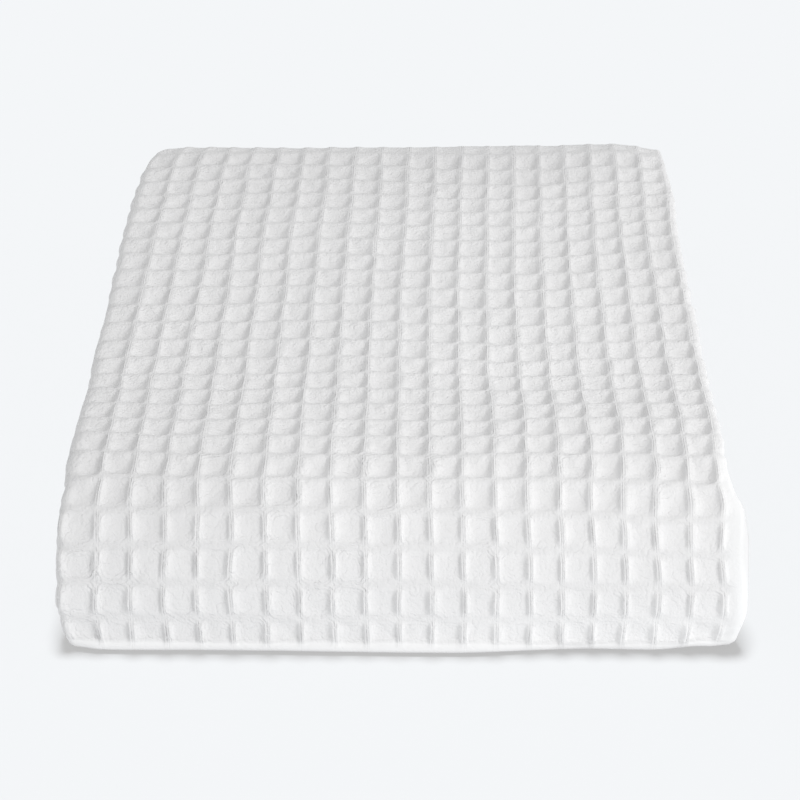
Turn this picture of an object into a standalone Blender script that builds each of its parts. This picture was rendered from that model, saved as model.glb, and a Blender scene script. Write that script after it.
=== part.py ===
"""Waffle weave cotton blanket, folded in four across its width and then in four along its length.

One piece of cloth. Folding it across its width makes a strip of four plies, and folding the strip
along its length stacks four runs of it: sixteen plies, with one wide puffed fold at the front.
Metres, +Z up, front towards -Y. The origin is on the ground, under the middle of the stack.
"""
import math

import bmesh
import bpy
import numpy as np
from mathutils import Vector

MM = 0.001

# The cloth
CLOTH = 1.8 * MM                # thickness of one ply
CELL_WIDTH = 15.4 * MM          # pitch of the waffle cells across the blanket
CELL_LENGTH = 17.3 * MM         # pitch of the waffle cells along it
RELIEF = 0.8 * MM               # the cells' borders stand this much proud, their middles lie as low
COLUMNS = 20                    # cells across the top, between the side folds

# The stack
PLY = 4.475 * MM                # room that one ply takes under the crest
STRIP = 4 * PLY                 # half the height of the folded pair, and one strip of four plies
MIDDLE = 2 * STRIP              # height at which the stack opens, half its height
TOP_ROWS = 19                   # cells along the top, from the back fold to the crest
TOP_PRESSED = 0.87              # height of the flat part of the top, as a share of the crest's
PUFF_ROWS = 5.2                 # cells along the rise from the flat part to the crest
WAVE = 0.35 * MM                # the top's gentle unevenness
EDGE_WAVE = 0.5 * MM            # the side folds' unevenness

# Run of the strip's section: one row for each ply and each side fold between two of them
SECTION = (
    # length, fold radius, turn in degrees, steps
    (COLUMNS * CELL_WIDTH, 0.0, 0, 1),              # innermost ply, from its selvedge at the right
    (0.0, 1.5 * PLY, -180, 4),                      # wide fold at the left
    (COLUMNS * CELL_WIDTH, 0.0, 0, COLUMNS),        # outermost ply, the one that shows
    (0.0, 0.5 * PLY, -180, 3),                      # fold at the right
    (COLUMNS * CELL_WIDTH, 0.0, 0, 1),              # third ply
    (0.0, 0.5 * PLY, 180, 3),                       # fold at the left, inside the wide one
    (COLUMNS * CELL_WIDTH, 0.0, 0, 1),              # second ply, to its selvedge at the right
)
SHOWN_FIRST = 5                 # first section point of the outermost ply
SHOWN_LAST = SHOWN_FIRST + COLUMNS

# Outline of the front fold, from the crest forward and down to the ground
CREST_RADIUS = 62.0 * MM
CREST_TURN = 76
FACE = 16.4 * MM                # nearly upright stretch under the crest's curve
TOE_RADIUS = 7.0 * MM           # where the cloth turns under
FRONT = (
    # length, fold radius, turn in degrees, steps
    (0.0, CREST_RADIUS, -CREST_TURN, 5),
    (FACE, 0.0, 0, 1),
    (0.0, TOE_RADIUS, CREST_TURN - 180, 3),
)
FRONT_ROWS = 6                  # steps of the front's outline that carry cells
BACK_STEPS = 5                  # steps round the fold at the back
HIDDEN_ROWS = (0, 1.7, 3.5, 5.2, 12.0)  # steps of a hidden run, in rows behind the crest
HEM_ROWS = 19.7                 # row at which the two hems lie, flush with the back fold

# How far the side folds stand out from straight, fading to nothing at the middle of the blanket
SIDES = (
    # rows behind the crest, left, right
    (-3.6, 2.0 * MM, 8.0 * MM),
    (-1.5, 0.5 * MM, 3.5 * MM),
    (0.0, -2.0 * MM, -2.0 * MM),
    (9.0, -2.0 * MM, -2.0 * MM),
    (18.0, -5.0 * MM, -4.0 * MM),
    (20.0, -15.0 * MM, -8.0 * MM),
)
TOE_TUCK = 5.0 * MM             # how far the front's lower corners draw in
TOE_HEIGHT = 24.0 * MM

COTTON = (0.86, 0.87, 0.86, 1.0)


def trace(x, y, heading, rows):
    """Points of a path of straight stretches and arcs, each row giving one of them."""
    points = [(x, y)]
    for length, radius, turn, steps in rows:
        bend = math.radians(turn) / steps
        stride = length / steps + 2 * radius * math.sin(abs(bend) / 2)
        for _ in range(steps):
            heading += bend / 2
            x += stride * math.cos(heading)
            y += stride * math.sin(heading)
            heading += bend / 2
            points.append((x, y))
    return points


def strip_section():
    """The four plies across the blanket: each point's place across it and its depth in the strip."""
    half = COLUMNS * CELL_WIDTH / 2
    return trace(half, PLY / 2, math.pi, SECTION)


def front_outline():
    """Outline of the front fold as steps from the middle of the stack under the crest."""
    points = trace(0.0, MIDDLE, 0.0, FRONT)
    points.append((0.0, -MIDDLE))
    return [(-forward / MIDDLE, up / MIDDLE) for forward, up in points]


def run(crest, rows, up):
    """Places along a straight run of the strip, at these rows behind the crest."""
    return [(crest + row * CELL_LENGTH, MIDDLE, 0.0, up) for row in rows]


def fold_path():
    """The strip's way through the stack, from its hem at the back of the lowest run.

    Each place is a centre, a direction in which the plies lie one over the other, the distance of
    the strip's inner side from that centre, and which way its depth counts along the direction.
    """
    outline = front_outline()
    back = TOP_ROWS * CELL_LENGTH
    crest = (CREST_RADIUS - back) / 2
    front = [(crest, MIDDLE, forward, up) for forward, up in outline[1:-1]]
    hidden = [*HIDDEN_ROWS, TOP_ROWS]
    to_hem = [*HIDDEN_ROWS, HEM_ROWS]
    turns = [math.pi * step / BACK_STEPS for step in range(1, BACK_STEPS)]
    back_fold = [(crest + back, MIDDLE + STRIP, math.sin(turn), math.cos(turn)) for turn in turns]
    path = [(place, STRIP, 1) for place in run(crest, to_hem[::-1], -1.0)]
    path += [(place, STRIP, 1) for place in front[::-1]]
    shown_first = len(path)
    path += [(place, STRIP, 1) for place in run(crest, range(TOP_ROWS + 1), 1.0)]
    path += [(place, 0.0, 1) for place in back_fold]
    path += [(place, STRIP, -1) for place in run(crest, hidden[::-1], 1.0)]
    path += [(place, STRIP, -1) for place in front]
    path += [(place, STRIP, -1) for place in run(crest, to_hem, -1.0)]
    shown = (shown_first - FRONT_ROWS, shown_first + TOP_ROWS)
    return path, shown, crest


def smooth(value):
    """Soft step from 0 to 1."""
    value = min(max(value, 0.0), 1.0)
    return value * value * (3 - 2 * value)


def settle(x, y, z, crest):
    """The stack as it lies: pressed flat behind the crest, wider at the front, a little uneven."""
    puff = smooth(1 - (y - crest) / (PUFF_ROWS * CELL_LENGTH))
    ground = PLY / 2
    share = (z - ground) / (2 * MIDDLE)
    z = ground + (z - ground) * (TOP_PRESSED + (1 - TOP_PRESSED) * puff)
    z += WAVE * share * (math.sin(31 * x + 17 * y) + math.sin(23 * x - 41 * y + 1.1))
    side = max(-1.0, min(1.0, x / (COLUMNS * CELL_WIDTH / 2)))
    rows, left, right = zip(*SIDES)
    stand_out = np.interp((y - crest) / CELL_LENGTH, rows, left if side < 0 else right)
    stand_out += EDGE_WAVE * math.sin(38 * y + 60 * z + 1.7 * side)
    stand_out -= TOE_TUCK * puff * smooth(1 - z / TOE_HEIGHT)
    x += side ** 3 * stand_out
    return Vector((x, y, z - ground + CLOTH / 2))


def blanket_sheet():
    """The flat cut, one square for each cell where it shows, folded and with its cells sunk."""
    section = strip_section()
    path, (first, last), crest = fold_path()
    across, along = len(section) - 1, len(path) - 1
    sheet = bmesh.new()
    bmesh.ops.create_grid(sheet, x_segments=across, y_segments=along, size=1.0)
    cells = {}
    for vertex in sheet.verts:
        column = round((vertex.co.x + 1) / 2 * across)
        row = round((vertex.co.y + 1) / 2 * along)
        (x, depth), ((y, z, toward_y, toward_z), inner, side) = section[column], path[row]
        shown = SHOWN_FIRST <= column <= SHOWN_LAST and first <= row <= last
        reach = inner + side * (depth + (RELIEF if shown else 0.0))
        vertex.co = settle(x, y + reach * toward_y, z + reach * toward_z, crest)
        cells[vertex.index] = shown
    for face in sheet.faces:
        face.select = all(cells[vertex.index] for vertex in face.verts)
    bmesh.ops.translate(sheet, verts=sheet.verts, vec=-ground_middle(sheet))
    sheet.normal_update()
    return sheet


def ground_middle(sheet):
    """The middle of the sheet's outline on the ground."""
    across = [vertex.co.x for vertex in sheet.verts]
    along = [vertex.co.y for vertex in sheet.verts]
    return Vector(((min(across) + max(across)) / 2, (min(along) + max(along)) / 2, 0.0))


def blanket():
    """The folded blanket as one closed solid of one thickness."""
    sheet = blanket_sheet()
    shown = [face for face in sheet.faces if face.select]
    highest = max(shown, key=lambda face: face.calc_center_median().z)
    if highest.normal.z < 0:
        bmesh.ops.reverse_faces(sheet, faces=sheet.faces[:])
    bmesh.ops.poke(sheet, faces=shown, offset=-2 * RELIEF)
    mesh = bpy.data.meshes.new("blanket")
    sheet.to_mesh(mesh)
    sheet.free()
    piece = bpy.data.objects.new("blanket", mesh)
    thickness = piece.modifiers.new("cloth", "SOLIDIFY")
    thickness.thickness = CLOTH
    thickness.offset = 0.0
    thickness.use_even_offset = False
    return piece


def cotton():
    """White cotton, quite matt."""
    material = bpy.data.materials.new("white_cotton")
    material.use_nodes = True
    shader = material.node_tree.nodes["Principled BSDF"]
    shader.inputs["Base Color"].default_value = COTTON
    shader.inputs["Roughness"].default_value = 0.9
    shader.inputs["Metallic"].default_value = 0.0
    return material


def main():
    for old in list(bpy.data.objects):
        bpy.data.objects.remove(old, do_unlink=True)
    collection = bpy.data.collections.new("waffle_weave_blanket")
    bpy.context.scene.collection.children.link(collection)
    piece = blanket()
    piece.data.materials.append(cotton())
    collection.objects.link(piece)


main()
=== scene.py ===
"""Looks of a white waffle weave cotton blanket, folded in four both ways: the cloth as fine sheets on the
folds of its solid, the floor, the light and the view. Metres, +Z up, front towards -Y."""
import math

import bpy
import numpy as np
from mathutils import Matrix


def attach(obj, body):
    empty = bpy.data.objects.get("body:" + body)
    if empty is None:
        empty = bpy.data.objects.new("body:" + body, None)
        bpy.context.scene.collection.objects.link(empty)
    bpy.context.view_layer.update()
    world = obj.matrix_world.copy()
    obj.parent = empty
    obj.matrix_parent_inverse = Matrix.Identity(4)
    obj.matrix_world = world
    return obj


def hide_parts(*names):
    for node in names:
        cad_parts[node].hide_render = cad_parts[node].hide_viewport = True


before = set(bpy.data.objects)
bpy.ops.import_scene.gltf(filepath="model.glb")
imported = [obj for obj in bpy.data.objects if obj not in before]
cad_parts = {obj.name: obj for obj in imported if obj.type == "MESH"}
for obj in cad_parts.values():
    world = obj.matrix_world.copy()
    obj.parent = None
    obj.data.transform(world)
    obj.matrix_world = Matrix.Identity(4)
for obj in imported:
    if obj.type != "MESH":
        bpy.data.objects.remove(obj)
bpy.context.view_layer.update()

MM = 0.001

# ---------------------------------------------------------------------------------------------------
# The cloth that shows: one ply of white cotton in a waffle weave, from under the puffed front, over the
# top and round the fold at the back, and at either side a cell past the fold there. Its cells are woven
# in: floats one way stand as thin upright walls, and floats the other way as broad low bands.
CELL_WIDTH = 15.4 * MM
CELL_LENGTH = 17.3 * MM
COLUMNS = 20                    # cells across, between the side folds
TOP_ROWS = 19                   # cells along the top, from the crest to the fold at the back
CLOTH = 1.8 * MM                # thickness of one ply
PLY = 4.475 * MM                # room that one ply takes
STRIP = 4 * PLY                 # one strip of four plies
OUTERMOST = 3.5 * PLY           # from a strip's inner side to the middle of its outermost ply
MIDDLE = 2 * STRIP              # half the height of the stack
HALF = COLUMNS * CELL_WIDTH / 2
HEM_TURN = 0.9 * MM             # radius of the turned edge
HEM_RETURN = 10 * MM            # cloth turned back behind it

# Across the blanket: hem, innermost ply, wide fold, the ply that shows, fold, third ply, fold, second ply
ACROSS = (
    # length, radius, turn in degrees
    (HEM_RETURN, 0.0, 0),
    (0.0, HEM_TURN, -180),
    (2 * HALF, 0.0, 0),
    (0.0, 1.5 * PLY, -180),
    (2 * HALF, 0.0, 0),
    (0.0, 0.5 * PLY, -180),
    (2 * HALF, 0.0, 0),
    (0.0, 0.5 * PLY, 180),
    (2 * HALF, 0.0, 0),
    (0.0, HEM_TURN, -180),
    (HEM_RETURN, 0.0, 0),
)
SHOWN_STRETCH = 4               # the ply that shows, among those stretches

# The front fold's outline, forward from the crest, down, under and back along the ground
CREST_RADIUS = 62.0 * MM
CREST_TURN = 80
FACE = 18.1 * MM                # nearly upright stretch under the crest's curve
TOE_RADIUS = 2.2 * MM           # where the cloth turns under
FRONT = (
    (0.0, CREST_RADIUS, -CREST_TURN),
    (FACE, 0.0, 0),
    (0.0, TOE_RADIUS, CREST_TURN - 180),
)
HEM_PLACE = 19.7 * CELL_LENGTH  # from the crest back to the two hems

# The stack's own sag and spread, near its solid's
TOP_PRESSED = 0.87              # height of the flat part of the top, as a share of the crest's
PUFF_LENGTH = 5.2 * CELL_LENGTH # along the rise from the flat part to the crest
TOP_WAVE = 0.35 * MM
SIDE_WAVE = 0.5 * MM
SIDES = (
    # rows behind the crest, left, right
    (-3.5, 3.6 * MM, 4.8 * MM),
    (-2.8, 1.0 * MM, 6.4 * MM),
    (-2.2, 0.3 * MM, 7.2 * MM),
    (-1.6, -1.0 * MM, 6.0 * MM),
    (-1.0, -3.6 * MM, 0.9 * MM),
    (0.0, -3.0 * MM, -1.3 * MM),
    (3.0, -2.3 * MM, -1.6 * MM),
    (6.0, -2.9 * MM, -1.8 * MM),
    (8.5, -3.7 * MM, -2.2 * MM),
    (10.5, -2.8 * MM, -4.4 * MM),
    (13.0, -2.6 * MM, -5.8 * MM),
    (15.6, -4.8 * MM, -5.0 * MM),
    (18.0, -6.4 * MM, -7.2 * MM),
    (19.0, -9.0 * MM, -7.2 * MM),
    (19.6, -15.0 * MM, -7.0 * MM),
    (20.2, -22.0 * MM, -9.0 * MM),
)
TOE_HEIGHT = 24.0 * MM          # the front's lowest part, which draws in and lies back
TUCK_LEFT = 0.9 * 5.6 * MM      # how far its lower corners draw in
TUCK_RIGHT = 0.55 * 5.6 * MM
TOE_BACK = 1.0 * MM             # how far it lies back,
TOE_BACK_RIGHT = 0.6 * MM       # how much further on its right half,
TOE_BACK_CORNER = 1.4 * MM      # and how much again at its right corner
FRONT_BACK_RIGHT = 2.8 * MM     # how far the whole front lies back on its right half
LIFT_HEIGHT = 16.0 * MM         # the part of the corners that lifts off the ground
LIFT_LEFT = 0.6 * MM
LIFT_RIGHT = 2.0 * MM


def size_of(stretch):
    """Length of a stretch: its straight, or its radius times its turn."""
    length, radius, turn = stretch
    return length + radius * abs(math.radians(turn))


def follow(stretches, start, heading, along):
    """Places on a path at the distances along it. On a straight the place is its start plus the distance
    times the heading. On an arc it is the arc's centre, which lies a radius to the side that it turns to,
    plus the radius turned by distance over radius. Past either end the path goes straight on."""
    x, y = start
    across, up = x + along * math.cos(heading), y + along * math.sin(heading)
    begun = 0.0
    for stretch in stretches:
        length, radius, turn = stretch
        far = along - begun
        if turn:
            hand = math.copysign(1.0, turn)
            angle = heading + hand * np.clip(far, 0.0, size_of(stretch)) / radius
            here_x = x + radius * hand * (np.sin(angle) - math.sin(heading))
            here_y = y - radius * hand * (np.cos(angle) - math.cos(heading))
        else:
            here_x = x + far * math.cos(heading)
            here_y = y + far * math.sin(heading)
        past = far >= 0
        across, up = np.where(past, here_x, across), np.where(past, here_y, up)
        begun += size_of(stretch)
        if turn:
            x += radius * hand * (math.sin(heading + math.radians(turn)) - math.sin(heading))
            y -= radius * hand * (math.cos(heading + math.radians(turn)) - math.cos(heading))
            heading += math.radians(turn)
        else:
            x += length * math.cos(heading)
            y += length * math.sin(heading)
    return across, up


def smooth(value):
    """Soft step: three times the square less twice the cube, from 0 to 1."""
    value = np.clip(value, 0.0, 1.0)
    return value * value * (3 - 2 * value)


ACROSS_SIZES = [size_of(stretch) for stretch in ACROSS]
ACROSS_MIDDLE = sum(ACROSS_SIZES[:SHOWN_STRETCH]) + HALF
FIRST_CELL = -ACROSS_MIDDLE / CELL_WIDTH            # the first turned edge, in cells from the middle
LAST_CELL = (sum(ACROSS_SIZES) - ACROSS_MIDDLE) / CELL_WIDTH


def across_section(cells):
    """Place across the stack and depth in its strip, at so many cells from the middle of the shown ply."""
    start = (HALF - HEM_RETURN, PLY / 2 + 2 * HEM_TURN)
    return follow(ACROSS, start, 0.0, cells * CELL_WIDTH + ACROSS_MIDDLE)


CREST = (CREST_RADIUS - TOP_ROWS * CELL_LENGTH) / 2
BACK = TOP_ROWS * CELL_LENGTH
FRONT_END = follow(FRONT, (0.0, MIDDLE), 0.0, np.array([sum(size_of(s) for s in FRONT)]))[0][0]
OUTLINE = sum(size_of(stretch) for stretch in FRONT) + FRONT_END
OUTER_FRONT = OUTLINE * (STRIP + OUTERMOST) / MIDDLE
BACK_FOLD = math.pi * OUTERMOST
INNER_FRONT = OUTLINE * OUTERMOST / MIDDLE
HEM_SIZE = math.pi * HEM_TURN + HEM_RETURN
# Where the runs of the strip meet, as distances along the cloth behind the crest
TURNS = np.cumsum([-OUTER_FRONT, OUTER_FRONT, BACK, BACK_FOLD, BACK, INNER_FRONT])
FIRST_ROW = (-OUTER_FRONT - HEM_PLACE - HEM_SIZE) / CELL_LENGTH
LAST_ROW = (TURNS[-1] + HEM_PLACE + HEM_SIZE) / CELL_LENGTH


def hem_turn(beyond):
    """A run's end: distances past the hem's line go round a half circle and then back the way they came."""
    angle = np.clip(beyond / HEM_TURN, 0.0, math.pi)
    returned = np.maximum(beyond - math.pi * HEM_TURN, 0.0)
    return HEM_TURN * np.sin(angle) - returned, HEM_TURN * (1 - np.cos(angle))


def along_stack(rows, depth):
    """Height and distance back of each point, from its row along the cloth and its depth in the strip.

    Each point is a centre plus its reach times a direction. On the flat runs the centre moves along the
    stack and the direction is up or down. At the back fold the centre stands still and the direction
    turns half round. At the front the direction follows the fold's outline. The strip's depth adds to the
    reach before the fold at the back, and takes from it after.
    """
    along = rows * CELL_LENGTH
    lowest, front, top, behind, upper, nose = TURNS
    centre_y = np.full(along.shape, CREST)
    centre_z = np.full(along.shape, MIDDLE)
    toward_y = np.zeros(along.shape)
    toward_z = np.ones(along.shape)
    reach = STRIP + depth

    # round the front, outside and inside
    outer = np.clip(-along / OUTER_FRONT, 0.0, 1.0)
    inner = np.clip((along - upper) / INNER_FRONT, 0.0, 1.0)
    turned = np.where(along < front, outer, inner) * OUTLINE
    closing = FRONT + ((FRONT_END, 0.0, 0),)
    forward, up = follow(closing, (0.0, MIDDLE), 0.0, turned)
    in_front = (along < front) | (along > upper)
    toward_y = np.where(in_front, -forward / MIDDLE, toward_y)
    toward_z = np.where(in_front, up / MIDDLE, toward_z)

    # flat runs
    centre_y += np.where(along >= front, np.clip(along - front, 0.0, BACK), 0.0)
    centre_y -= np.where(along > behind, np.clip(along - behind, 0.0, BACK), 0.0)
    for begun in (lowest - along, along - nose):
        shift, lift = hem_turn(np.maximum(begun - HEM_PLACE, 0.0))
        centre_y += np.where(begun > 0, np.minimum(begun, HEM_PLACE) + shift, 0.0)
        reach = reach - np.where(begun > HEM_PLACE, lift, 0.0)

    # the fold at the back, and the runs inside it, whose depth counts the other way
    turn = math.pi * np.clip((along - top) / BACK_FOLD, 0.0, 1.0)
    at_back = (along > top) & (along <= behind)
    centre_z = np.where(at_back, MIDDLE + STRIP, centre_z)
    toward_y = np.where(at_back, np.sin(turn), toward_y)
    toward_z = np.where(at_back, np.cos(turn), toward_z)
    reach = np.where(at_back, reach - STRIP, reach)
    reach = np.where(along > behind, 2 * STRIP - reach, reach)
    return centre_y + reach * toward_y, centre_z + reach * toward_z


def settle(x, y, z):
    """The stack as it lies.

    Heights shrink by a soft step behind the crest, and two crossed sine waves times the share of the
    height add to them. Sides stand out or draw in by the table's lengths plus a sine wave, times a power
    of the place across, the cube behind the crest and up to the eighth power at the front. The front's
    lower corners draw in and lift, and its foot and right half lie back, each by its length times soft
    steps of the height and of the place across and along.
    """
    puff = smooth(1 - (y - CREST) / PUFF_LENGTH)
    ground = PLY / 2
    share = (z - ground) / (2 * MIDDLE)
    z = ground + (z - ground) * (TOP_PRESSED + (1 - TOP_PRESSED) * puff)
    z = z + TOP_WAVE * share * (np.sin(31 * x + 17 * y) + np.sin(23 * x - 41 * y + 1.1))
    side = np.clip(x / HALF, -1.0, 1.0)
    rows, left, right = zip(*SIDES)
    back = (y - CREST) / CELL_LENGTH
    stand_out = np.where(side < 0, np.interp(back, rows, left), np.interp(back, rows, right))
    stand_out = stand_out + SIDE_WAVE * np.sin(38 * y + 60 * z + 1.7 * side)
    edge = np.sign(side) * np.abs(side) ** (3 + 5 * smooth(-back / 1.5))

    low = puff * smooth(1 - z / TOE_HEIGHT)
    corner = np.sign(x) * smooth((np.abs(side) - 0.8) / 0.2)
    tuck = corner * np.where(x > 0, TUCK_RIGHT, TUCK_LEFT) * low
    right_half = smooth((side - 0.15) / 0.45)
    right_corner = smooth((side - 0.76) / 0.17)
    left_corner = smooth((-side - 0.84) / 0.15)
    drawn_back = (TOE_BACK + TOE_BACK_RIGHT * right_half + TOE_BACK_CORNER * right_corner) * low
    drawn_back = drawn_back + FRONT_BACK_RIGHT * right_half * puff
    lift = (LIFT_RIGHT * right_corner + LIFT_LEFT * left_corner) * puff * smooth(1 - z / LIFT_HEIGHT)
    return x + edge * stand_out - tuck, y + drawn_back, z + lift - ground + CLOTH / 2


def drift(across, along, size, seed):
    """Smooth random field from -1 to 1: random values on a square lattice, a size apart, joined by soft
    steps both ways."""
    across, along = across / size + 400.0, along / size + 400.0
    table = np.random.default_rng(seed).uniform(-1.0, 1.0, (997,))
    i, j = np.floor(across).astype(int), np.floor(along).astype(int)
    s, t = smooth(across - i), smooth(along - j)

    def at(column, row):
        """The table's number for a place on the lattice, by a remainder of its sums and product."""
        return table[(column * 131 + row * 373 + column * row * 7) % 997]

    low = at(i, j) * (1 - s) + at(i + 1, j) * s
    high = at(i, j + 1) * (1 - s) + at(i + 1, j + 1) * s
    return low * (1 - t) + high * t


def cell_chance(column, row, seed):
    """One random number from -1 to 1 for each cell, the same all over it."""
    table = np.random.default_rng(seed).uniform(-1.0, 1.0, (1009,))
    return table[(column * 211 + row * 457 + column * row * 3 + 50000) % 1009]


# The weave's heights and depths in millimetres
PYRAMID = 3.35                  # a cell of the top, from its deepest point to its corners
CROWN = 0.35                    # what its left and right walls stand above that
WALL = 1.7                      # a wall round the front
GROOVE = 0.3                    # the line along a wall's crown
DISH = 0.5                      # a cell round the front, from its floor to its edge
DEEPER = 0.35                   # chance of each cell's depth
TILT = 0.30                     # chance of its slope
FLOOR_DEPTH = 1.7               # how deep the cells lie in the cloth, on the top
FLOOR_RISE = 0.5                # how much less deep round the front


def waffle(a, b):
    """Height of the weave, from the place in cells across and along.

    In each cell p and q run from -1 to 1. Their middle is moved by chance, and on the top also to the
    right and the front, by a length times the product of one less their squares. On the top a cell is a
    hollow pyramid: its way out is a root of the sum of their high powers, and the height is a low power
    of it. Round the front the cloth is drawn flat: a rounded dish with a soft step for its edge, and
    walls on its left and right, soft steps from foot to crown with a bell-shaped groove along the crown,
    that fade out where the bands cross them. A soft step joins the two forms at the crest, and another
    under the stack. Each wall's height and each cell's depth and tilt are by chance, and the cell's floor
    is crumpled by two drifts.
    """
    column, row = np.floor(a).astype(int), np.floor(b).astype(int)
    p, q = 2 * (a - column) - 1, 2 * (b - row) - 1
    inside = (1 - p ** 2) * (1 - q ** 2)
    front = smooth((-b - 0.5) / 3) * smooth((b + 9.0) / 1.5)
    far = smooth((b - 8) / 6)
    to_right, to_front = (0.26 - 0.14 * far) * (1 - front), 0.32 * (1 - front)
    p0 = np.abs(p + (0.2 * cell_chance(column, row, 11) - to_right) * inside)
    q0 = np.abs(q + (0.2 * cell_chance(column, row, 12) + to_front) * inside)
    tall = 1 + 0.12 * cell_chance(column + (p > 0), row, 13)

    way_out = ((1.09 * p0) ** 7 + q0 ** 7) ** (1 / 7)
    hollow = 1.75 - 0.45 * smooth((b - 9) / 6) + 0.35 * cell_chance(column, row, 10)
    pyramid = PYRAMID * np.clip(way_out / 0.94, 0.0, 1.0) ** hollow
    pyramid += CROWN * tall * smooth((p0 - 0.6) / 0.25) * (1 - np.abs(q) ** 4)

    round_way = (p0 ** 3.5 + (1.08 * q0) ** 3.5) ** (1 / 3.5)
    dish = DISH * smooth((round_way - 0.60) / 0.28)
    foot, crown = np.where(p > 0, 0.71, 0.62), np.where(p > 0, 0.87, 0.89)
    wall = smooth((p0 - foot) / (crown - foot)) * smooth((0.84 - np.abs(q)) / 0.40)
    groove = GROOVE * np.exp(-((1 - np.abs(p)) / 0.05) ** 2)
    flat = dish + (WALL * tall - groove) * wall

    height = pyramid * (1 - front) + flat * front
    deeper = DEEPER * cell_chance(column, row, 14)
    tilt = TILT * (p * cell_chance(column, row, 15) + q * cell_chance(column, row, 16))
    crumple = (0.40 - 0.10 * front) * drift(a, b, 0.42, 17) + 0.22 * drift(a, b, 0.21, 20)
    height += (deeper + tilt) * smooth(inside * 1.6) + crumple * (0.25 + 0.75 * smooth(inside * 2))
    return (height - FLOOR_DEPTH + FLOOR_RISE * front) * MM


# Soft spots, where the cloth lies off its even form: size, place across and along, reach both ways.
# Places and reaches are in cells, and so are the shifts of the lattice. The swells are in millimetres.
SHIFTS_ACROSS = (
    (-0.11, 4, 9, 3.5, 5),
    (-0.13, -5.3, -4, 1.6, 1.6),
    (0.10, 9.5, 17.5, 2, 2),
    (-0.14, 8, -1.6, 2.6, 1.0),
    (-0.26, 10.4, -2.5, 0.9, 2.0),
    (0.13, 8, -4.0, 2.4, 1.8),
)
SHIFTS_ALONG = (
    (-0.46, 4, 17.5, 4, 2.2),
    (-0.34, 3.3, 7, 2.8, 3.0),
    (0.42, 9, 12.5, 2.5, 3.2),
    (-0.32, -10, 17.5, 2.4, 2.0),
    (0.18, -3.3, 10.5, 2.2, 2.8),
    (-0.29, -6.5, 3, 2.8, 2.4),
    (-0.23, -10, 6.5, 2.2, 3.5),
    (-0.26, 9, -1.6, 3, 2.0),
    (-0.23, 9.5, 17.8, 2, 1.6),
    (-0.12, 0.5, 16.0, 3, 2.5),
    (0.06, 9, 7, 2, 3),
)
SWELLS = (
    (1.6, 5.5, 19.5, 4, 3),
    (2.0, 7.8, 19.4, 1.7, 3),
    (1.0, 1.0, 19.5, 5, 3),
    (-2.5, 11, 19.8, 1.2, 2),
    (-2.5, -11, 19.8, 1.3, 2),
)


def spots(a, b, table):
    """Sum of soft spots: each is its size times a bell of the distances from its middle over its reach."""
    return sum(size * np.exp(-((a - column) / across) ** 2 - ((b - row) / along) ** 2)
               for size, column, row, across, along in table)


def loosened(a, b):
    """The lattice of cells as the cloth lies.

    Over the top it is drawn left by a straight line, and round the front by a length plus soft steps
    towards both sides, all fading past the side folds. From under the front to a few rows behind the
    crest it slides back by the product of two soft steps. A second-degree sum of both places and the soft
    spots add to that, drifts warp the whole, and each piece of a wall or band bows by chance times the
    product of its distances from its two crossings.
    """
    column, row = np.floor(a).astype(int), np.floor(b).astype(int)
    p, q = a - column, b - row
    bow_a = (1 - p) ** 2 * cell_chance(column, row, 18) + p ** 2 * cell_chance(column + 1, row, 18)
    bow_b = (1 - q) ** 2 * cell_chance(column, row, 19) + q ** 2 * cell_chance(column, row + 1, 19)
    bow_a = 0.10 * bow_a * q * (1 - q)
    bow_b = 0.22 * bow_b * p * (1 - p)
    front = smooth((-b - 0.5) / 3)
    drawn = (1 - front) * (0.018 * a - 0.23)
    drawn -= front * (0.13 + 0.24 * smooth((a - 4) / 5) + 0.10 * smooth((-a - 4) / 5))
    drawn *= smooth((13.0 - np.abs(a)) / 3)
    t, s = a / 10, (b - 7) / 12
    drawn = drawn + 0.095 - 0.038 * t + 0.059 * s - 0.104 * t ** 2 - 0.029 * t * s + 0.113 * s ** 2
    drawn = drawn + spots(a, b, SHIFTS_ACROSS)
    slid = 0.3 * smooth((b + 9.5) / 3) * (1 - smooth((b - 3) / 4)) - 0.105
    slid = slid - 0.08 * front * smooth((a - 1.5) / 4.5) + spots(a, b, SHIFTS_ALONG)
    warp_a = 0.03 * drift(a, b, 2.6, 21) + 0.02 * drift(a, b, 1.0, 22)
    warp_b = 0.03 * drift(a, b, 2.3, 23) + 0.03 * drift(a, b, 1.1, 24)
    return a + drawn + bow_a + warp_a, b + slid + bow_b + warp_b


LIP = 1.9 * MM                  # how far the lower edge stands forward


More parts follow.
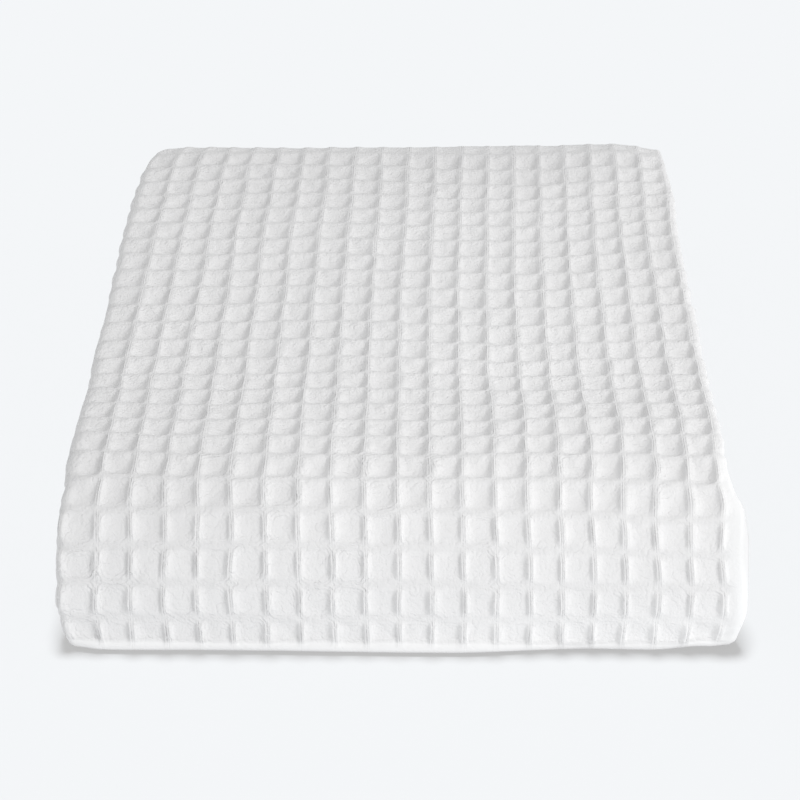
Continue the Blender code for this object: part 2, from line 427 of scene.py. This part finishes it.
def cloth_places(a, b, relief, loose, skin):
    """Places of the cloth's outer face: its fold, plus along its own normal the skin, the weave's height
    times the relief, and two drifts and the swells times the looseness. Where there is relief, the lower
    edge stands forward as a lip, a length times soft steps up to it, past it and towards its two ends,
    and nothing goes below the ground."""
    loose_a, loose_b = loosened(a, b)
    x, depth = across_section(loose_a)
    y, z = along_stack(loose_b, depth)
    fold = np.stack(settle(x, y, z), -1)
    normal = np.cross(np.gradient(fold, axis=0), np.gradient(fold, axis=1))
    normal /= np.maximum(np.linalg.norm(normal, axis=-1, keepdims=True), 1e-12)
    soft = 0.8 * drift(a, b, 5.5, 31) + 0.35 * drift(a, b, 2.2, 32) + spots(a, b, SWELLS)
    places = fold + normal * (skin + relief * waffle(a, b) + loose * soft * MM)[..., None]
    lip = LIP * smooth((-5.62 - b) / 0.28) * (1 - smooth((-6.15 - b) / 0.5))
    lip = lip * (1 + 0.25 * drift(a, b, 2.0, 33)) * (1 - smooth((np.abs(a - 0.3) - 9.4) / 1.0))
    places[..., 1] -= np.where(relief > 0, lip, 0.0)
    places[..., 2] = np.where(relief > 0, np.maximum(places[..., 2], 0.0), places[..., 2])
    return places


def sheet_mesh(name, a_nodes, b_nodes, places, keep=...):
    """A mesh of the grid's squares that are kept, all of them if none are named, with a map of its place
    in cells."""
    across, along = len(a_nodes), len(b_nodes)
    number = np.arange(across * along).reshape(across, along)
    squares = np.stack([number[:-1, :-1], number[1:, :-1], number[1:, 1:], number[:-1, 1:]], -1)[keep]
    used = np.unique(squares)
    fresh = np.full(across * along, -1)
    fresh[used] = np.arange(len(used))
    squares = fresh[squares].reshape(-1, 4).astype(np.int32)
    mesh = bpy.data.meshes.new(name)
    mesh.vertices.add(len(used))
    mesh.vertices.foreach_set("co", places.reshape(-1, 3)[used].astype(np.float32).ravel())
    mesh.loops.add(squares.size)
    mesh.loops.foreach_set("vertex_index", squares.ravel())
    mesh.polygons.add(len(squares))
    mesh.polygons.foreach_set("loop_start", np.arange(0, squares.size, 4, dtype=np.int32))
    mesh.update(calc_edges=True)
    mesh.shade_smooth()
    lattice = np.stack(np.meshgrid(a_nodes, b_nodes, indexing="ij"), -1).reshape(-1, 2)[used]
    corners = lattice[squares.ravel()].astype(np.float32)
    mesh.uv_layers.new(name="cells").uv.foreach_set("vector", corners.ravel())
    mesh.validate()
    piece = bpy.data.objects.new(name, mesh)
    bpy.context.scene.collection.objects.link(piece)
    return piece


SLIVER = 0.02                   # no grid line is this near an end, in cells


def fine_nodes(first, last, shares):
    """Grid lines at these shares of each cell, from first to last, both ends included."""
    cells = np.arange(math.floor(first), math.ceil(last))
    nodes = (cells[:, None] + np.array(shares)).ravel()
    inside = nodes[(nodes > first + SLIVER) & (nodes < last - SLIVER)]
    return np.concatenate([[first], inside, [last]])


SHARES_ACROSS = (0, 0.035, 0.07, 0.115, 0.18, 0.29, 0.43, 0.57, 0.70, 0.81, 0.87, 0.92, 0.965)
SHARES_ALONG = (0, 0.06, 0.13, 0.24, 0.37, 0.50, 0.63, 0.76, 0.87, 0.94)
SHOWN_CELLS = (-12.3, 11.4)
SHOWN_ROWS = (-7.1, 22.8)
BORDER = 0.6                    # width of the plain border by which this cloth meets the rest, in cells
SHOWS = 1e-3                    # marks this cloth as relief also where its weave is drawn smooth


def weave_left(a, b):
    """Share of the relief at a place: full over the top and front, none at the lip and where the cloth
    turns under, little round the fold at the back, half round those at the sides, and next to none on the
    right side below the crest, where the cloth is drawn smooth."""
    ends = smooth((b + 5.80) / 0.18) * (1 - 0.75 * smooth((b - 18.5) / 1.0))
    right = 0.95 * smooth((a - 9.98) / 0.3) * smooth((1.0 - b) / 3)
    return ends * (1 - 0.5 * smooth((np.abs(a + 0.1) - 9.9) / 0.8)) * (1 - right)


def from_border(a, b):
    """Distance in cells inside the border of the cloth that shows, negative outside it."""
    return np.minimum(np.minimum(a - SHOWN_CELLS[0], SHOWN_CELLS[1] - a),
                      np.minimum(b - SHOWN_ROWS[0], SHOWN_ROWS[1] - b))


def looseness(a, b):
    """Share of the soft unevenness: full over the top and front, fading at the side folds, under the
    front and down the back."""
    ends = smooth((b + 6.0) / 0.4) * (1 - 0.8 * smooth((b - 20.3) / 1.5))
    return ends * (1 - 0.6 * smooth((np.abs(a) - 10.4) / 0.8))


a_nodes = fine_nodes(*SHOWN_CELLS, SHARES_ACROSS)
b_nodes = fine_nodes(*SHOWN_ROWS, SHARES_ALONG)
a, b = np.meshgrid(a_nodes, b_nodes, indexing="ij")
whole = smooth(from_border(a, b) / BORDER)
relief = (weave_left(a, b) + SHOWS) * whole
places = cloth_places(a, b, relief, looseness(a, b) * whole, CLOTH / 2 * whole)
middle_shift = np.array([0.6 * MM, 8.1 * MM, 0.0])  # from the folds' middle to the middle of the solid
cloth = sheet_mesh("waffle_cloth_shown", a_nodes, b_nodes, places - middle_shift)


class Value:
    """A shader socket that adds, subtracts, multiplies and divides as a number does. Without a socket it
    only makes nodes."""

    def __init__(self, tree, socket=None):
        self.tree, self.socket = tree, socket

    def node(self, kind, settings=(), inputs=(), output=0):
        """Any other node: its settings first, then its sockets' values or links."""
        node = self.tree.nodes.new(kind)
        for name, setting in dict(settings).items():
            setattr(node, name, setting)
        for name, given in dict(inputs).items():
            if isinstance(given, Value):
                self.tree.links.new(given.socket, node.inputs[name])
            else:
                node.inputs[name].default_value = given
        return Value(self.tree, node.outputs[output])

    def math(self, operation, *others):
        """A Math node's operation on this value and any others."""
        return self.node("ShaderNodeMath", {"operation": operation}, dict(enumerate((self, *others))))

    def between(self, low, high):
        """Held between two numbers."""
        return self.math("MAXIMUM", low).math("MINIMUM", high)

    def __abs__(self): return self.math("ABSOLUTE")
    def __add__(self, other): return self.math("ADD", other)
    def __radd__(self, other): return self.math("ADD", other)
    def __sub__(self, other): return self.math("SUBTRACT", other)
    def __rsub__(self, other): return self.math("MULTIPLY_ADD", -1.0, other)
    def __mul__(self, other): return self.math("MULTIPLY", other)
    def __rmul__(self, other): return self.math("MULTIPLY", other)
    def __truediv__(self, other): return self.math("DIVIDE", other)
    def __pow__(self, other): return self.math("POWER", other)


COTTON = (0.885, 0.878, 0.878, 1.0)
PAINTED_SHADE_COTTON = (0.90 * 0.885, 0.90 * 0.878, 0.90 * 0.878, 1.0) # painted shade: bands, far rows, left part, walls' feet
PAINTED_LIGHT_COTTON = (0.96, 0.955, 0.955, 1.0)                         # painted light: lip, lowest row and middle of the top
PAINTED_SIDE_LIGHT_COTTON = (0.92, 0.92, 0.92, 1.0)                           # painted light: smooth strip at the right
PAINTED_TURNED_SHADE_COTTON = (0.63, 0.63, 0.63, 1.0)                         # painted shade, where that strip turns away from the light
YARNS = 13                      # upright yarns to a cell


def white_cotton():
    """Matt white cotton.

    Bumps: rings of floats, sines of the rounded way out in each cell; upright yarns on the walls, cosines
    of the place across; mottle, fibres and creases, noise; all weaker where the cloth is drawn smooth.
    Colour: painted shade, greyer by clamped straight lines at the bands, the far and left parts and the
    walls' feet, over a random mottle; painted light, paler at the lip, the lowest row and the middle of
    the top; on the right side a paler painted light, and painted shade where that strip turns away.
    The real cotton is one white: these tints follow how the cloth is shaded in the light of the picture.
    """
    material = bpy.data.materials.new("white_cotton_waffle")
    material.use_nodes = True
    tree = material.node_tree
    shader = tree.nodes["Principled BSDF"]
    make = Value(tree)

    def noise(scale, detail):
        """Noise on the piece's own coordinates: so many bumps to a metre, and so many finer layers."""
        return make.node("ShaderNodeTexNoise", {}, {"Vector": body, "Scale": scale, "Detail": detail})

    def mixed(share, colour, other):
        """One colour passing into another by a share from 0 to 1."""
        return make.node("ShaderNodeMix", {"data_type": "RGBA"}, {0: share, 6: colour, 7: other}, output=2)

    body = make.node("ShaderNodeTexCoord", output="Object")
    place = make.node("ShaderNodeUVMap", {"uv_map": "cells"})
    parts = make.node("ShaderNodeSeparateXYZ", {}, {0: place}).socket.node.outputs
    across, along = Value(tree, parts["X"]), Value(tree, parts["Y"])
    p, q = across.math("FRACT") * 2 - 1, along.math("FRACT") * 2 - 1
    out_p, out_q = abs(p), abs(q)
    way_out = (out_p ** 3.0 + out_q ** 3.0) ** (1 / 3)
    mottle, fibres = noise(380.0, 3.0), noise(900.0, 4.0)
    creases, patches = noise(170.0, 2.0), noise(45.0, 1.0)

    # parts of the cloth, as shares from 0 to 1
    lip = ((-5.68 - along) * 12.0).between(0.0, 1.0)
    below_crest = (0.6 - along * 0.5).between(0.25, 1.0)
    side = ((across - 9.95) * 2.5).between(0.0, 1.0) * below_crest
    turned = ((across - 10.48) * 3.0).between(0.0, 1.0)
    lowest = (-4.3 - along).between(0.0, 1.0) * (across * 0.06 + 0.35).between(0.0, 0.8)
    middle = (0.4 - abs(across - 2.0) * 0.045).math("MAXIMUM", 0.0)
    middle = middle * (1.1 - abs(along - 7.5) * 0.11).math("MAXIMUM", 0.0)
    drawn_smooth = lip.math("MAXIMUM", side)

    # bumps
    rings = ((way_out + creases * 0.6) * 27.0).math("SINE") * (way_out * 2.0 - 0.5).between(0.0, 1.0)
    rings = rings * (patches - 0.40 - across * 0.009 - along * 0.01).math("MAXIMUM", 0.0)
    on_wall = out_p ** 8.0 * (1.0 - out_q ** 4.0)
    yarns = (across * (2 * math.pi * YARNS)).math("COSINE") * on_wall
    lines = (abs(creases - 0.5) * 12.0).math("MINIMUM", 1.0)
    on_top = (along * 0.2 + 1.0).between(0.55, 1.7)
    grain = (mottle * 0.95 + fibres * 0.95) * on_top + lines * 0.35 + creases * 0.5
    height = (rings * 0.75 + yarns * 0.38 + grain) * (1.0 - drawn_smooth * 0.75)
    bump = make.node("ShaderNodeBump", {}, {"Height": height, "Strength": 0.8, "Distance": 0.55 * MM})
    tree.links.new(bump.socket, shader.inputs["Normal"])

    # colour: painted shade and painted light over the cotton's random mottle
    band = ((out_q - 0.68) * 7.0).between(0.0, 1.0)
    far = ((along - 14.0) * 0.14).between(0.0, 0.7)
    left = ((-2.0 - across) * 0.2).between(0.0, 1.0)
    left = left * (1.2 - abs(along + 1.3) * 0.25).math("MAXIMUM", 0.0)
    foot = (1.0 - abs(p - 0.76) * 7.0).math("MAXIMUM", 0.0)
    foot = foot * (2.8 - out_q * 4.0).between(0.0, 1.0) * (-0.2 - along * 0.5).between(0.0, 1.0)
    # painted shade: greyer at the bands, the far rows, the left part and the walls' feet; the mottle is
    # random tone
    painted_shade_and_mottle = (band * 0.75 + (mottle - 0.35) * 0.5 + far + left) * 0.45 + foot * 0.75
    tint = mixed(painted_shade_and_mottle, COTTON, PAINTED_SHADE_COTTON)
    # painted light: paler at the lip, the lowest row and the middle of the top
    tint = mixed(lip.math("MAXIMUM", lowest).math("MAXIMUM", middle), tint, PAINTED_LIGHT_COTTON)
    # painted light: paler on the smooth strip at the right side
    tint = mixed(side, tint, PAINTED_SIDE_LIGHT_COTTON)
    # painted shade: much darker where that strip turns away from the light
    tint = mixed(side * turned, tint, PAINTED_TURNED_SHADE_COTTON)
    tree.links.new(tint.socket, shader.inputs["Base Color"])
    shader.inputs["Roughness"].default_value = 0.92
    shader.inputs["Sheen Weight"].default_value = 0.12
    shader.inputs["Sheen Roughness"].default_value = 0.6
    return material


cotton = white_cotton()
cloth.data.materials.append(cotton)
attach(cloth, "root")
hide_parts("blanket")
shown_flat = ((SHOWN_CELLS[1] - SHOWN_CELLS[0]) * CELL_WIDTH,
              (SHOWN_ROWS[1] - SHOWN_ROWS[0]) * CELL_LENGTH)

# ---------------------------------------------------------------------------------------------------
# The folded plies: the rest of the same cotton cloth, the fifteen plies under the one that shows, with
# their side folds, selvedges and hems. They are one sheet, folded as one, and lie on each other loose.
PLIES_RELIEF = 0.16             # share of the weave's height that the side folds show
TINY = 1e-6                     # less than any distance between two grid lines, in cells


def mixed_nodes(first, last, stops, fine, coarse, near):
    """Grid lines in cells: fine ones within a distance of any stop, coarse ones elsewhere."""
    steps = [first]
    while steps[-1] < last - 1e-9:
        here = steps[-1]
        size = fine if min(abs(here - stop) for stop in stops) < near else coarse
        steps.append(min(math.floor(here / size + 1 + TINY) * size, last))
    return np.array(sorted(set(np.round(steps + list(stops), 6))))


# where the section's stretches meet, in cells, from the first hem's end to the last one's
side_stops = np.round((np.cumsum(ACROSS_SIZES) - ACROSS_MIDDLE) / CELL_WIDTH, 2)[1:-2]
side_stops = [FIRST_CELL, *side_stops, *SHOWN_CELLS, LAST_CELL]
a_nodes = mixed_nodes(FIRST_CELL, LAST_CELL, side_stops, 0.125, 1.0, 1.3)
hem_rows = HEM_SIZE / CELL_LENGTH
row_stops = [FIRST_ROW, FIRST_ROW + hem_rows, *(TURNS / CELL_LENGTH), *SHOWN_ROWS,
             LAST_ROW - hem_rows, LAST_ROW]
b_nodes = mixed_nodes(FIRST_ROW, LAST_ROW, row_stops, 0.125, 0.25, 0.7)
a, b = np.meshgrid(a_nodes, b_nodes, indexing="ij")
near_side = smooth((np.abs(across_section(a)[0]) / HALF - 0.86) / 0.06)
relief = PLIES_RELIEF * near_side * smooth(-from_border(a, b) / BORDER)
places = cloth_places(a, b, relief, np.zeros(a.shape), np.zeros(a.shape))
hole_a = (a_nodes[:-1] >= SHOWN_CELLS[0] - TINY) & (a_nodes[1:] <= SHOWN_CELLS[1] + TINY)
hole_b = (b_nodes[:-1] >= SHOWN_ROWS[0] - TINY) & (b_nodes[1:] <= SHOWN_ROWS[1] + TINY)
kept = ~(hole_a[:, None] & hole_b[None, :])
plies = sheet_mesh("folded_plies", a_nodes, b_nodes, places - middle_shift, kept)
plies.data.materials.append(cotton)
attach(plies, "root")
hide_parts("blanket")
plies_flat = ((LAST_CELL - FIRST_CELL) * CELL_WIDTH, (LAST_ROW - FIRST_ROW) * CELL_LENGTH)
area = plies_flat[0] * plies_flat[1] - shown_flat[0] * shown_flat[1]

# ---------------------------------------------------------------------------------------------------
# Floor: a plain pale studio floor under the stack. It is flat and matt, and nearly half of its brightness
# is its own glow, so that it stays nearly white up to the horizon.
FLOOR_HALF = 6.0
FLOOR_DROP = 0.2 * MM           # keeps it clear of the cloth that lies on it


def pale_floor():
    """A flat square under the stack, partly lit by itself so that it stays an even white."""
    x, y = np.meshgrid([-FLOOR_HALF, FLOOR_HALF], [-FLOOR_HALF, FLOOR_HALF], indexing="ij")
    places = np.stack([x, y, np.full((2, 2), -FLOOR_DROP)], -1)
    floor = sheet_mesh("floor", np.array([0.0, 1.0]), np.array([0.0, 1.0]), places)
    material = bpy.data.materials.new("pale_floor")
    material.use_nodes = True
    shader = material.node_tree.nodes["Principled BSDF"]
    shader.inputs["Base Color"].default_value = (0.15, 0.15, 0.15, 1.0)
    shader.inputs["Roughness"].default_value = 1.0
    shader.inputs["Specular IOR Level"].default_value = 0.0
    shader.inputs["Emission Color"].default_value = (1.0, 1.0, 1.0, 1.0)
    shader.inputs["Emission Strength"].default_value = 0.425
    floor.data.materials.append(material)
    return floor


floor = pale_floor()

# ---------------------------------------------------------------------------------------------------
# Light: a pale room, a large soft lamp at the front right and a wide low one at the right side, which
# light the blanket alone, and an overhead one for the floor alone, which lays the thin shadow there.
world = bpy.data.worlds.new("pale_room")
world.use_nodes = True
background = world.node_tree.nodes["Background"]
background.inputs["Color"].default_value = (0.985, 0.993, 1.0, 1.0)
background.inputs["Strength"].default_value = 0.636
bpy.context.scene.world = world
STACK_HEART = (0.0, 0.0, 0.03)


def aim(thing, place, target):
    """Puts a lamp or camera at a place, its -Z axis towards the target and its Y axis up."""
    thing.location = place
    way = np.array(target) - np.array(place)
    flat = math.hypot(way[0], way[1])
    thing.rotation_euler = (math.atan2(flat, -way[2]), 0.0, math.atan2(-way[0], way[1]))


def lit_only(thing, *pieces):
    """Makes a lamp light these pieces alone."""
    group = bpy.data.collections.new(thing.name + "_lights")
    for piece in pieces:
        group.objects.link(piece)
    thing.light_linking.receiver_collection = group


def soft_lamp(name, place, target, width, power):
    """A square lamp, as wide as given, at a place and facing a target."""
    lamp = bpy.data.lights.new(name, "AREA")
    lamp.shape, lamp.size, lamp.energy = "SQUARE", width, power
    thing = bpy.data.objects.new(name, lamp)
    bpy.context.scene.collection.objects.link(thing)
    aim(thing, place, target)
    return thing


key = soft_lamp("key_softbox", (1.26, -1.14, 1.37), STACK_HEART, 0.94, 16.0)
lit_only(key, cloth, plies)
fill = soft_lamp("side_softbox", (2.4, 0.1, 0.45), STACK_HEART, 1.2, 9.8)
lit_only(fill, cloth, plies)

overhead_lamp = bpy.data.lights.new("overhead", "SUN")
overhead_lamp.energy, overhead_lamp.angle = 9.12, math.radians(17)
overhead_lamp.color = (0.9225, 0.961, 1.0)
overhead = bpy.data.objects.new("overhead", overhead_lamp)
bpy.context.scene.collection.objects.link(overhead)
aim(overhead, (0.0, 0.29, 1.0), (0.0, 0.0, 0.0))
lit_only(overhead, floor)

# ---------------------------------------------------------------------------------------------------
# View: from in front, well above, with a long lens.
VIEW_PIXELS = 800               # side of the picture
FOCUS_PIXELS = 2430.0           # focal length, in those pixels
SENSOR = 36.0                   # width of the sensor, in millimetres
camera_data = bpy.data.cameras.new("view")
camera_data.sensor_width = SENSOR
camera_data.lens = FOCUS_PIXELS * SENSOR / VIEW_PIXELS
camera_data.clip_end = 50.0
camera = bpy.data.objects.new("view", camera_data)
bpy.context.scene.collection.objects.link(camera)
camera.location = (0.0122, -1.0915, 0.7360)
camera.rotation_euler = (math.radians(90 - 33.66), 0.0, math.radians(0.79))
bpy.context.scene.camera = camera
bpy.context.scene.view_settings.view_transform = "Standard"
